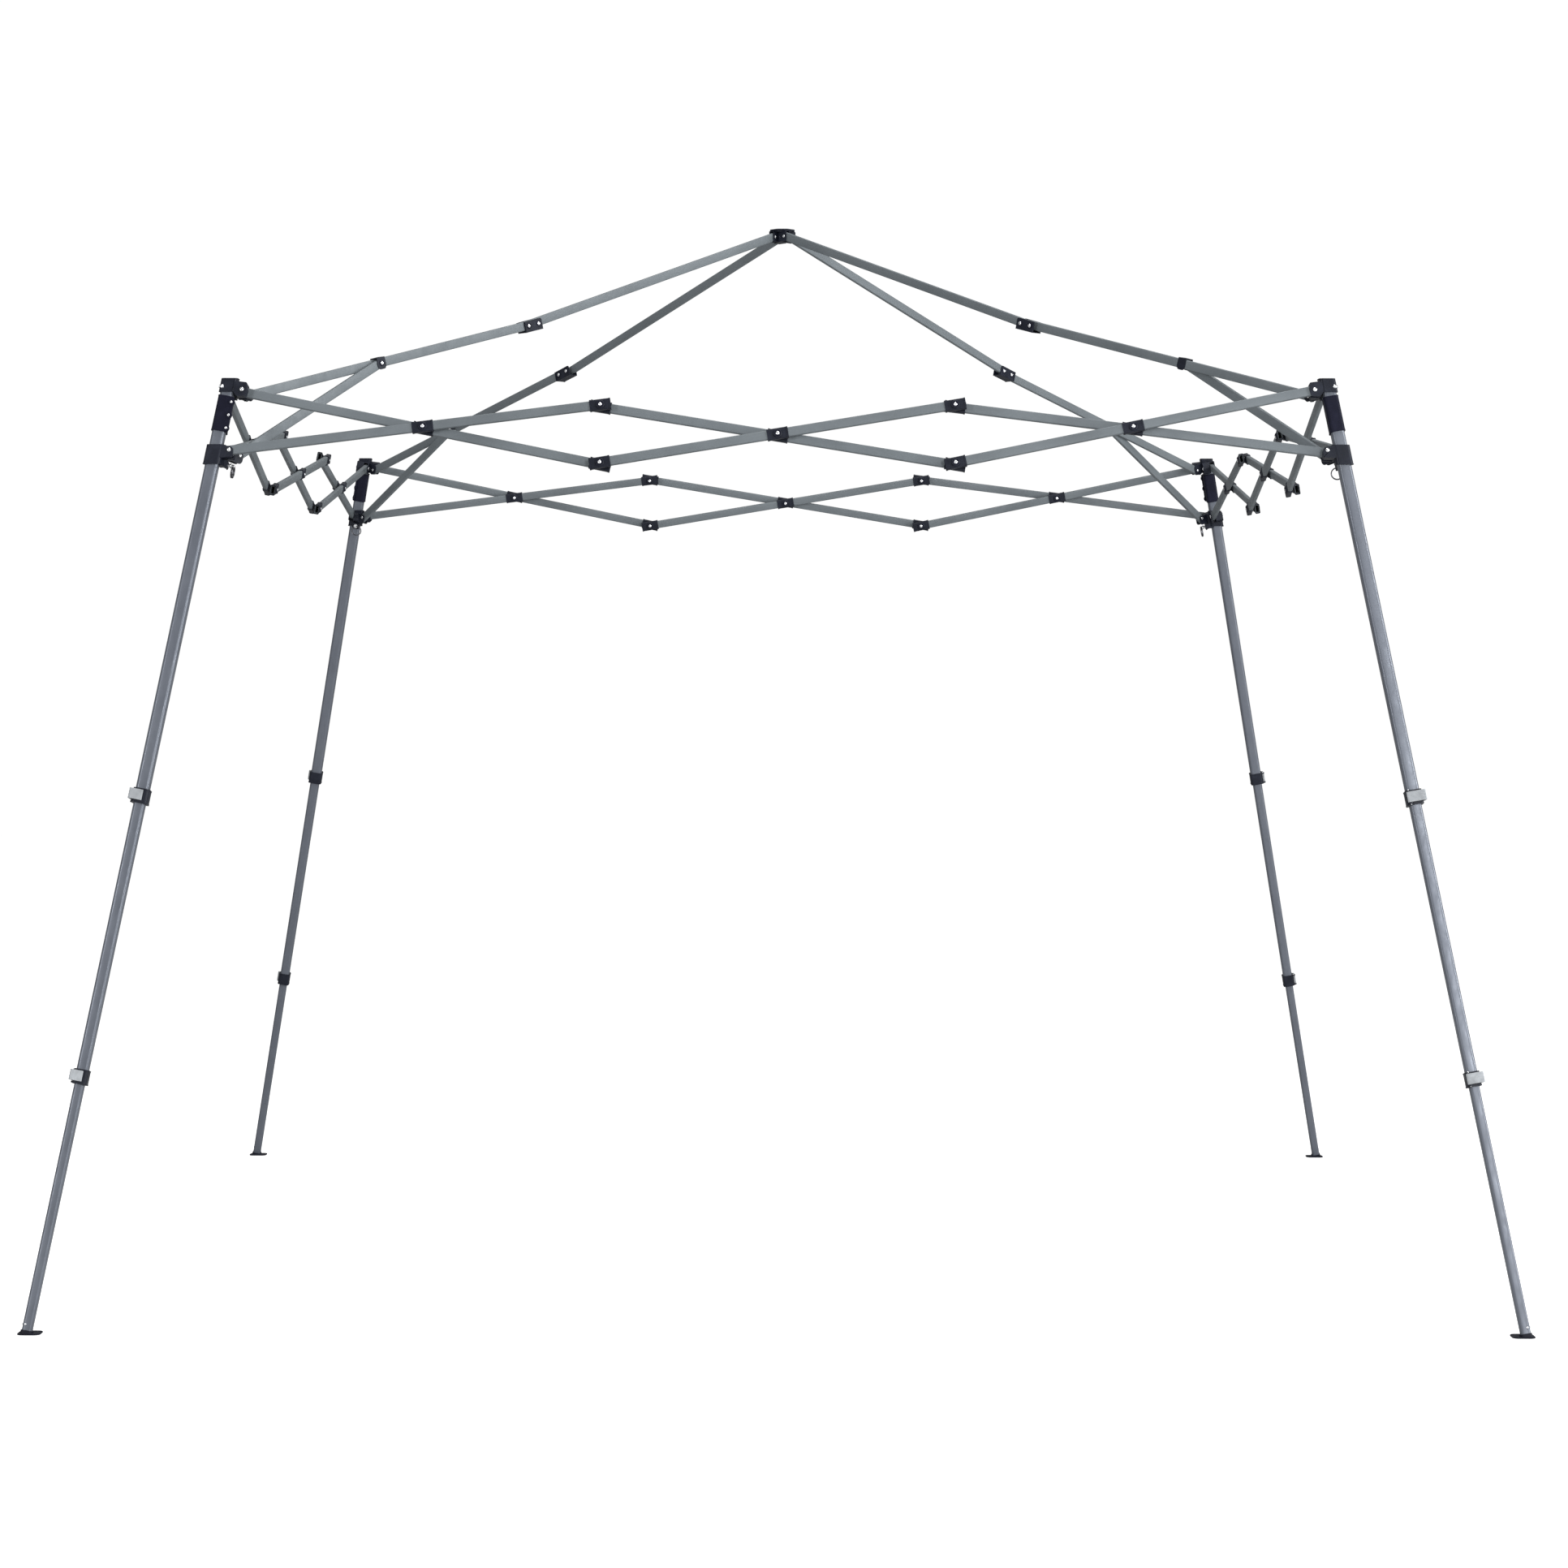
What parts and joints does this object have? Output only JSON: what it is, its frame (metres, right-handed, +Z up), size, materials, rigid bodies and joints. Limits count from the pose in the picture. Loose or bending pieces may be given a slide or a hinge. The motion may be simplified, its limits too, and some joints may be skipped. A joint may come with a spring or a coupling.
{
  "type": "pop up canopy frame",
  "caption": "Folding canopy frame with a peak hub, folding rafters and struts, scissor side trusses and slanted telescoping legs with sliders and flat feet",
  "frame": {"origin": "on the floor at the middle of the four feet", "axes": "+Z up, +X to the right and +Y to the back as the front side is faced, with the frame opened out"},
  "size_m": [3.085, 3.085, 2.45],
  "materials": {
    "grey_powder_coat": "satin grey powder coat with a slight blue-green cast",
    "charcoal_plastic": "moulded charcoal plastic, faintly textured",
    "bright_steel": "zinc plated steel"
  },
  "bodies": {
    "peak_hub": {"peak_hub": "charcoal_plastic"},
    "rafter_upper_front_left": {"rafter_upper_front_left": "grey_powder_coat"},
    "rafter_upper_front_right": {"rafter_upper_front_right": "grey_powder_coat"},
    "rafter_upper_back_right": {"rafter_upper_back_right": "grey_powder_coat"},
    "rafter_upper_back_left": {"rafter_upper_back_left": "grey_powder_coat"},
    "rafter_lower_front_left": {"rafter_lower_front_left": "grey_powder_coat"},
    "rafter_lower_front_right": {"rafter_lower_front_right": "grey_powder_coat"},
    "rafter_lower_back_right": {"rafter_lower_back_right": "grey_powder_coat"},
    "rafter_lower_back_left": {"rafter_lower_back_left": "grey_powder_coat"},
    "rafter_strut_front_left": {"rafter_strut_front_left": "grey_powder_coat"},
    "rafter_strut_front_right": {"rafter_strut_front_right": "grey_powder_coat"},
    "rafter_strut_back_right": {"rafter_strut_back_right": "grey_powder_coat"},
    "rafter_strut_back_left": {"rafter_strut_back_left": "grey_powder_coat"},
    "leg_upper_front_left": {"leg_upper_front_left": "grey_powder_coat"},
    "leg_upper_front_right": {"leg_upper_front_right": "grey_powder_coat"},
    "leg_upper_back_right": {"leg_upper_back_right": "grey_powder_coat"},
    "leg_upper_back_left": {"leg_upper_back_left": "grey_powder_coat"},
    "leg_middle_front_left": {"leg_middle_front_left": "grey_powder_coat"},
    "leg_middle_front_right": {"leg_middle_front_right": "grey_powder_coat"},
    "leg_middle_back_right": {"leg_middle_back_right": "grey_powder_coat"},
    "leg_middle_back_left": {"leg_middle_back_left": "grey_powder_coat"},
    "leg_lower_front_left": {"leg_lower_front_left": "grey_powder_coat"},
    "leg_lower_front_right": {"leg_lower_front_right": "grey_powder_coat"},
    "leg_lower_back_right": {"leg_lower_back_right": "grey_powder_coat"},
    "leg_lower_back_left": {"leg_lower_back_left": "grey_powder_coat"},
    "slider_front_left": {"slider_front_left": "charcoal_plastic"},
    "slider_front_right": {"slider_front_right": "charcoal_plastic"},
    "slider_back_right": {"slider_back_right": "charcoal_plastic"},
    "slider_back_left": {"slider_back_left": "charcoal_plastic"},
    "pull_pin_front_left": {"pull_pin_front_left": "bright_steel"},
    "pull_pin_front_right": {"pull_pin_front_right": "bright_steel"},
    "pull_pin_back_right": {"pull_pin_back_right": "bright_steel"},
    "pull_pin_back_left": {"pull_pin_back_left": "bright_steel"},
    "bar_front_l_top": {"bar_front_l_top": "grey_powder_coat"},
    "bar_front_l_slider": {"bar_front_l_slider": "grey_powder_coat"},
    "bar_front_l_middle": {"bar_front_l_middle": "grey_powder_coat"},
    "bar_front_r_top": {"bar_front_r_top": "grey_powder_coat"},
    "bar_front_r_slider": {"bar_front_r_slider": "grey_powder_coat"},
    "bar_front_r_middle": {"bar_front_r_middle": "grey_powder_coat"},
    "bar_right_l_top": {"bar_right_l_top": "grey_powder_coat"},
    "bar_right_l_slider": {"bar_right_l_slider": "grey_powder_coat"},
    "bar_right_l_middle": {"bar_right_l_middle": "grey_powder_coat"},
    "bar_right_r_top": {"bar_right_r_top": "grey_powder_coat"},
    "bar_right_r_slider": {"bar_right_r_slider": "grey_powder_coat"},
    "bar_right_r_middle": {"bar_right_r_middle": "grey_powder_coat"},
    "bar_back_l_top": {"bar_back_l_top": "grey_powder_coat"},
    "bar_back_l_slider": {"bar_back_l_slider": "grey_powder_coat"},
    "bar_back_l_middle": {"bar_back_l_middle": "grey_powder_coat"},
    "bar_back_r_top": {"bar_back_r_top": "grey_powder_coat"},
    "bar_back_r_slider": {"bar_back_r_slider": "grey_powder_coat"},
    "bar_back_r_middle": {"bar_back_r_middle": "grey_powder_coat"},
    "bar_left_l_top": {"bar_left_l_top": "grey_powder_coat"},
    "bar_left_l_slider": {"bar_left_l_slider": "grey_powder_coat"},
    "bar_left_l_middle": {"bar_left_l_middle": "grey_powder_coat"},
    "bar_left_r_top": {"bar_left_r_top": "grey_powder_coat"},
    "bar_left_r_slider": {"bar_left_r_slider": "grey_powder_coat"},
    "bar_left_r_middle": {"bar_left_r_middle": "grey_powder_coat"}
  },
  "joints": [
    {"name": "canopy_fold", "type": "hinge", "parent": "peak_hub", "child": "rafter_upper_front_left", "pos_m": [-0.01556, -0.01556, 2.432], "axis": [0.7071, -0.7071, 0], "range_deg": [0, 65.5]},
    {"name": "knuckle_front_left_hinge", "type": "hinge", "parent": "rafter_upper_front_left", "child": "rafter_lower_front_left", "pos_m": [-0.57064, -0.57064, 2.157], "axis": [-0.7071, 0.7071, 0], "range_deg": [0, 165.93]},
    {"name": "leg_front_left_hinge", "type": "hinge", "parent": "rafter_lower_front_left", "child": "leg_upper_front_left", "pos_m": [-1.1333, -1.1333, 1.94248], "axis": [0.7071, -0.7071, 0], "range_deg": [0, 114.68]},
    {"name": "slider_front_left_slide", "type": "slide", "parent": "leg_upper_front_left", "child": "slider_front_left", "axis": [-0.177, -0.177, -0.9682], "range_m": [0, 0.6664]},
    {"name": "strut_front_left_hinge", "type": "hinge", "parent": "slider_front_left", "child": "rafter_strut_front_left", "pos_m": [-1.15703, -1.15703, 1.81273], "axis": [0.7071, -0.7071, 0], "range_deg": [0, 41.14]},
    {"name": "pull_pin_front_left_slide", "type": "slide", "parent": "slider_front_left", "child": "pull_pin_front_left", "axis": [0.9842, -0.0318, -0.1741], "range_m": [0, 0.007], "stiffness_N_per_m": 500, "springref_m": -0.004},
    {"name": "leg_middle_front_left_slide", "type": "slide", "parent": "leg_upper_front_left", "child": "leg_middle_front_left", "axis": [0.177, 0.177, 0.9682], "range_m": [0, 0.54]},
    {"name": "leg_lower_front_left_slide", "type": "slide", "parent": "leg_middle_front_left", "child": "leg_lower_front_left", "axis": [0.177, 0.177, 0.9682], "range_m": [0, 0.46]},
    {"name": "rafter_upper_front_right_hinge", "type": "hinge", "parent": "peak_hub", "child": "rafter_upper_front_right", "pos_m": [0.01556, -0.01556, 2.432], "axis": [0.7071, 0.7071, 0], "range_deg": [0, 65.5]},
    {"name": "knuckle_front_right_hinge", "type": "hinge", "parent": "rafter_upper_front_right", "child": "rafter_lower_front_right", "pos_m": [0.57064, -0.57064, 2.157], "axis": [-0.7071, -0.7071, 0], "range_deg": [0, 165.93]},
    {"name": "leg_front_right_hinge", "type": "hinge", "parent": "rafter_lower_front_right", "child": "leg_upper_front_right", "pos_m": [1.1333, -1.1333, 1.94248], "axis": [0.7071, 0.7071, 0], "range_deg": [0, 114.68]},
    {"name": "slider_front_right_slide", "type": "slide", "parent": "leg_upper_front_right", "child": "slider_front_right", "axis": [0.177, -0.177, -0.9682], "range_m": [0, 0.6664]},
    {"name": "strut_front_right_hinge", "type": "hinge", "parent": "slider_front_right", "child": "rafter_strut_front_right", "pos_m": [1.15703, -1.15703, 1.81273], "axis": [0.7071, 0.7071, 0], "range_deg": [0, 41.14]},
    {"name": "pull_pin_front_right_slide", "type": "slide", "parent": "slider_front_right", "child": "pull_pin_front_right", "axis": [0.0318, 0.9842, -0.1741], "range_m": [0, 0.007], "stiffness_N_per_m": 500, "springref_m": -0.004},
    {"name": "leg_middle_front_right_slide", "type": "slide", "parent": "leg_upper_front_right", "child": "leg_middle_front_right", "axis": [-0.177, 0.177, 0.9682], "range_m": [0, 0.54]},
    {"name": "leg_lower_front_right_slide", "type": "slide", "parent": "leg_middle_front_right", "child": "leg_lower_front_right", "axis": [-0.177, 0.177, 0.9682], "range_m": [0, 0.46]},
    {"name": "rafter_upper_back_right_hinge", "type": "hinge", "parent": "peak_hub", "child": "rafter_upper_back_right", "pos_m": [0.01556, 0.01556, 2.432], "axis": [-0.7071, 0.7071, 0], "range_deg": [0, 65.5]},
    {"name": "knuckle_back_right_hinge", "type": "hinge", "parent": "rafter_upper_back_right", "child": "rafter_lower_back_right", "pos_m": [0.57064, 0.57064, 2.157], "axis": [0.7071, -0.7071, 0], "range_deg": [0, 165.93]},
    {"name": "leg_back_right_hinge", "type": "hinge", "parent": "rafter_lower_back_right", "child": "leg_upper_back_right", "pos_m": [1.1333, 1.1333, 1.94248], "axis": [-0.7071, 0.7071, 0], "range_deg": [0, 114.68]},
    {"name": "slider_back_right_slide", "type": "slide", "parent": "leg_upper_back_right", "child": "slider_back_right", "axis": [0.177, 0.177, -0.9682], "range_m": [0, 0.6664]},
    {"name": "strut_back_right_hinge", "type": "hinge", "parent": "slider_back_right", "child": "rafter_strut_back_right", "pos_m": [1.15703, 1.15703, 1.81273], "axis": [-0.7071, 0.7071, 0], "range_deg": [0, 41.14]},
    {"name": "pull_pin_back_right_slide", "type": "slide", "parent": "slider_back_right", "child": "pull_pin_back_right", "axis": [-0.9842, 0.0318, -0.1741], "range_m": [0, 0.007], "stiffness_N_per_m": 500, "springref_m": -0.004},
    {"name": "leg_middle_back_right_slide", "type": "slide", "parent": "leg_upper_back_right", "child": "leg_middle_back_right", "axis": [-0.177, -0.177, 0.9682], "range_m": [0, 0.54]},
    {"name": "leg_lower_back_right_slide", "type": "slide", "parent": "leg_middle_back_right", "child": "leg_lower_back_right", "axis": [-0.177, -0.177, 0.9682], "range_m": [0, 0.46]},
    {"name": "rafter_upper_back_left_hinge", "type": "hinge", "parent": "peak_hub", "child": "rafter_upper_back_left", "pos_m": [-0.01556, 0.01556, 2.432], "axis": [-0.7071, -0.7071, 0], "range_deg": [0, 65.5]},
    {"name": "knuckle_back_left_hinge", "type": "hinge", "parent": "rafter_upper_back_left", "child": "rafter_lower_back_left", "pos_m": [-0.57064, 0.57064, 2.157], "axis": [0.7071, 0.7071, 0], "range_deg": [0, 165.93]},
    {"name": "leg_back_left_hinge", "type": "hinge", "parent": "rafter_lower_back_left", "child": "leg_upper_back_left", "pos_m": [-1.1333, 1.1333, 1.94248], "axis": [-0.7071, -0.7071, 0], "range_deg": [0, 114.68]},
    {"name": "slider_back_left_slide", "type": "slide", "parent": "leg_upper_back_left", "child": "slider_back_left", "axis": [-0.177, 0.177, -0.9682], "range_m": [0, 0.6664]},
    {"name": "strut_back_left_hinge", "type": "hinge", "parent": "slider_back_left", "child": "rafter_strut_back_left", "pos_m": [-1.15703, 1.15703, 1.81273], "axis": [-0.7071, -0.7071, 0], "range_deg": [0, 41.14]},
    {"name": "pull_pin_back_left_slide", "type": "slide", "parent": "slider_back_left", "child": "pull_pin_back_left", "axis": [-0.0318, -0.9842, -0.1741], "range_m": [0, 0.007], "stiffness_N_per_m": 500, "springref_m": -0.004},
    {"name": "leg_middle_back_left_slide", "type": "slide", "parent": "leg_upper_back_left", "child": "leg_middle_back_left", "axis": [0.177, -0.177, 0.9682], "range_m": [0, 0.54]},
    {"name": "leg_lower_back_left_slide", "type": "slide", "parent": "leg_middle_back_left", "child": "leg_lower_back_left", "axis": [0.177, -0.177, 0.9682], "range_m": [0, 0.46]},
    {"name": "bar_front_l_top_hinge", "type": "hinge", "parent": "leg_upper_front_left", "child": "bar_front_l_top", "pos_m": [-1.13702, -1.16016, 1.94807], "axis": [0, 0.9837, -0.1799], "range_deg": [0, 82.33]},
    {"name": "bar_front_l_crossing_hinge", "type": "hinge", "parent": "bar_front_l_top", "child": "bar_front_l_slider", "pos_m": [-0.75224, -1.1829, 1.87096], "axis": [0, -0.9837, 0.1799], "range_deg": [0, 149.02]},
    {"name": "bar_front_l_upper_hinge", "type": "hinge", "parent": "bar_front_l_slider", "child": "bar_front_l_middle", "pos_m": [-0.37627, -1.1743, 1.918], "axis": [0, 0.9837, -0.1799], "range_deg": [0, 151.22]},
    {"name": "bar_front_r_top_hinge", "type": "hinge", "parent": "leg_upper_front_right", "child": "bar_front_r_top", "pos_m": [1.13702, -1.17688, 1.95113], "axis": [0, -0.9837, 0.1799], "range_deg": [0, 82.33]},
    {"name": "bar_front_r_crossing_hinge", "type": "hinge", "parent": "bar_front_r_top", "child": "bar_front_r_slider", "pos_m": [0.75224, -1.1829, 1.87096], "axis": [0, 0.9837, -0.1799], "range_deg": [0, 149.02]},
    {"name": "bar_front_r_upper_hinge", "type": "hinge", "parent": "bar_front_r_slider", "child": "bar_front_r_middle", "pos_m": [0.37627, -1.1743, 1.918], "axis": [0, -0.9837, 0.1799], "range_deg": [0, 151.22]},
    {"name": "bar_right_l_top_hinge", "type": "hinge", "parent": "leg_upper_front_right", "child": "bar_right_l_top", "pos_m": [1.16016, -1.13702, 1.94807], "axis": [-0.9837, 0, -0.1799], "range_deg": [0, 82.33]},
    {"name": "bar_right_l_crossing_hinge", "type": "hinge", "parent": "bar_right_l_top", "child": "bar_right_l_slider", "pos_m": [1.1829, -0.75224, 1.87096], "axis": [0.9837, 0, 0.1799], "range_deg": [0, 149.02]},
    {"name": "bar_right_l_upper_hinge", "type": "hinge", "parent": "bar_right_l_slider", "child": "bar_right_l_middle", "pos_m": [1.1743, -0.37627, 1.918], "axis": [-0.9837, 0, -0.1799], "range_deg": [0, 151.22]},
    {"name": "bar_right_r_top_hinge", "type": "hinge", "parent": "leg_upper_back_right", "child": "bar_right_r_top", "pos_m": [1.17688, 1.13702, 1.95113], "axis": [0.9837, 0, 0.1799], "range_deg": [0, 82.33]},
    {"name": "bar_right_r_crossing_hinge", "type": "hinge", "parent": "bar_right_r_top", "child": "bar_right_r_slider", "pos_m": [1.1829, 0.75224, 1.87096], "axis": [-0.9837, 0, -0.1799], "range_deg": [0, 149.02]},
    {"name": "bar_right_r_upper_hinge", "type": "hinge", "parent": "bar_right_r_slider", "child": "bar_right_r_middle", "pos_m": [1.1743, 0.37627, 1.918], "axis": [0.9837, 0, 0.1799], "range_deg": [0, 151.22]},
    {"name": "bar_back_l_top_hinge", "type": "hinge", "parent": "leg_upper_back_right", "child": "bar_back_l_top", "pos_m": [1.13702, 1.16016, 1.94807], "axis": [0, -0.9837, -0.1799], "range_deg": [0, 82.33]},
    {"name": "bar_back_l_crossing_hinge", "type": "hinge", "parent": "bar_back_l_top", "child": "bar_back_l_slider", "pos_m": [0.75224, 1.1829, 1.87096], "axis": [0, 0.9837, 0.1799], "range_deg": [0, 149.02]},
    {"name": "bar_back_l_upper_hinge", "type": "hinge", "parent": "bar_back_l_slider", "child": "bar_back_l_middle", "pos_m": [0.37627, 1.1743, 1.918], "axis": [0, -0.9837, -0.1799], "range_deg": [0, 151.22]},
    {"name": "bar_back_r_top_hinge", "type": "hinge", "parent": "leg_upper_back_left", "child": "bar_back_r_top", "pos_m": [-1.13702, 1.17688, 1.95113], "axis": [0, 0.9837, 0.1799], "range_deg": [0, 82.33]},
    {"name": "bar_back_r_crossing_hinge", "type": "hinge", "parent": "bar_back_r_top", "child": "bar_back_r_slider", "pos_m": [-0.75224, 1.1829, 1.87096], "axis": [0, -0.9837, -0.1799], "range_deg": [0, 149.02]},
    {"name": "bar_back_r_upper_hinge", "type": "hinge", "parent": "bar_back_r_slider", "child": "bar_back_r_middle", "pos_m": [-0.37627, 1.1743, 1.918], "axis": [0, 0.9837, 0.1799], "range_deg": [0, 151.22]},
    {"name": "bar_left_l_top_hinge", "type": "hinge", "parent": "leg_upper_back_left", "child": "bar_left_l_top", "pos_m": [-1.16016, 1.13702, 1.94807], "axis": [0.9837, 0, -0.1799], "range_deg": [0, 82.33]},
    {"name": "bar_left_l_crossing_hinge", "type": "hinge", "parent": "bar_left_l_top", "child": "bar_left_l_slider", "pos_m": [-1.1829, 0.75224, 1.87096], "axis": [-0.9837, 0, 0.1799], "range_deg": [0, 149.02]},
    {"name": "bar_left_l_upper_hinge", "type": "hinge", "parent": "bar_left_l_slider", "child": "bar_left_l_middle", "pos_m": [-1.1743, 0.37627, 1.918], "axis": [0.9837, 0, -0.1799], "range_deg": [0, 151.22]},
    {"name": "bar_left_r_top_hinge", "type": "hinge", "parent": "leg_upper_front_left", "child": "bar_left_r_top", "pos_m": [-1.17688, -1.13702, 1.95113], "axis": [-0.9837, 0, 0.1799], "range_deg": [0, 82.33]},
    {"name": "bar_left_r_crossing_hinge", "type": "hinge", "parent": "bar_left_r_top", "child": "bar_left_r_slider", "pos_m": [-1.1829, -0.75224, 1.87096], "axis": [0.9837, 0, -0.1799], "range_deg": [0, 149.02]},
    {"name": "bar_left_r_upper_hinge", "type": "hinge", "parent": "bar_left_r_slider", "child": "bar_left_r_middle", "pos_m": [-1.1743, -0.37627, 1.918], "axis": [-0.9837, 0, 0.1799], "range_deg": [0, 151.22]}
  ],
  "couplings": [
    {"joint": "knuckle_front_left_hinge", "follows": "canopy_fold", "ratio": 2.5333},
    {"joint": "leg_front_left_hinge", "follows": "canopy_fold", "ratio": 1.7508},
    {"joint": "slider_front_left_slide", "follows": "canopy_fold", "m_per_rad": 0.58295},
    {"joint": "strut_front_left_hinge", "follows": "canopy_fold", "ratio": 0.62799},
    {"joint": "rafter_upper_front_right_hinge", "follows": "canopy_fold", "ratio": 1},
    {"joint": "knuckle_front_right_hinge", "follows": "canopy_fold", "ratio": 2.5333},
    {"joint": "leg_front_right_hinge", "follows": "canopy_fold", "ratio": 1.7508},
    {"joint": "slider_front_right_slide", "follows": "canopy_fold", "m_per_rad": 0.58295},
    {"joint": "strut_front_right_hinge", "follows": "canopy_fold", "ratio": 0.62799},
    {"joint": "rafter_upper_back_right_hinge", "follows": "canopy_fold", "ratio": 1},
    {"joint": "knuckle_back_right_hinge", "follows": "canopy_fold", "ratio": 2.5333},
    {"joint": "leg_back_right_hinge", "follows": "canopy_fold", "ratio": 1.7508},
    {"joint": "slider_back_right_slide", "follows": "canopy_fold", "m_per_rad": 0.58295},
    {"joint": "strut_back_right_hinge", "follows": "canopy_fold", "ratio": 0.62799},
    {"joint": "rafter_upper_back_left_hinge", "follows": "canopy_fold", "ratio": 1},
    {"joint": "knuckle_back_left_hinge", "follows": "canopy_fold", "ratio": 2.5333},
    {"joint": "leg_back_left_hinge", "follows": "canopy_fold", "ratio": 1.7508},
    {"joint": "slider_back_left_slide", "follows": "canopy_fold", "m_per_rad": 0.58295},
    {"joint": "strut_back_left_hinge", "follows": "canopy_fold", "ratio": 0.62799},
    {"joint": "bar_front_l_top_hinge", "follows": "canopy_fold", "ratio": 1.2569},
    {"joint": "bar_front_l_crossing_hinge", "follows": "canopy_fold", "ratio": 2.2752},
    {"joint": "bar_front_l_upper_hinge", "follows": "canopy_fold", "ratio": 2.3088},
    {"joint": "bar_front_r_top_hinge", "follows": "canopy_fold", "ratio": 1.2569},
    {"joint": "bar_front_r_crossing_hinge", "follows": "canopy_fold", "ratio": 2.2752},
    {"joint": "bar_front_r_upper_hinge", "follows": "canopy_fold", "ratio": 2.3088},
    {"joint": "bar_right_l_top_hinge", "follows": "canopy_fold", "ratio": 1.2569},
    {"joint": "bar_right_l_crossing_hinge", "follows": "canopy_fold", "ratio": 2.2752},
    {"joint": "bar_right_l_upper_hinge", "follows": "canopy_fold", "ratio": 2.3088},
    {"joint": "bar_right_r_top_hinge", "follows": "canopy_fold", "ratio": 1.2569},
    {"joint": "bar_right_r_crossing_hinge", "follows": "canopy_fold", "ratio": 2.2752},
    {"joint": "bar_right_r_upper_hinge", "follows": "canopy_fold", "ratio": 2.3088},
    {"joint": "bar_back_l_top_hinge", "follows": "canopy_fold", "ratio": 1.2569},
    {"joint": "bar_back_l_crossing_hinge", "follows": "canopy_fold", "ratio": 2.2752},
    {"joint": "bar_back_l_upper_hinge", "follows": "canopy_fold", "ratio": 2.3088},
    {"joint": "bar_back_r_top_hinge", "follows": "canopy_fold", "ratio": 1.2569},
    {"joint": "bar_back_r_crossing_hinge", "follows": "canopy_fold", "ratio": 2.2752},
    {"joint": "bar_back_r_upper_hinge", "follows": "canopy_fold", "ratio": 2.3088},
    {"joint": "bar_left_l_top_hinge", "follows": "canopy_fold", "ratio": 1.2569},
    {"joint": "bar_left_l_crossing_hinge", "follows": "canopy_fold", "ratio": 2.2752},
    {"joint": "bar_left_l_upper_hinge", "follows": "canopy_fold", "ratio": 2.3088},
    {"joint": "bar_left_r_top_hinge", "follows": "canopy_fold", "ratio": 1.2569},
    {"joint": "bar_left_r_crossing_hinge", "follows": "canopy_fold", "ratio": 2.2752},
    {"joint": "bar_left_r_upper_hinge", "follows": "canopy_fold", "ratio": 2.3088}
  ]
}
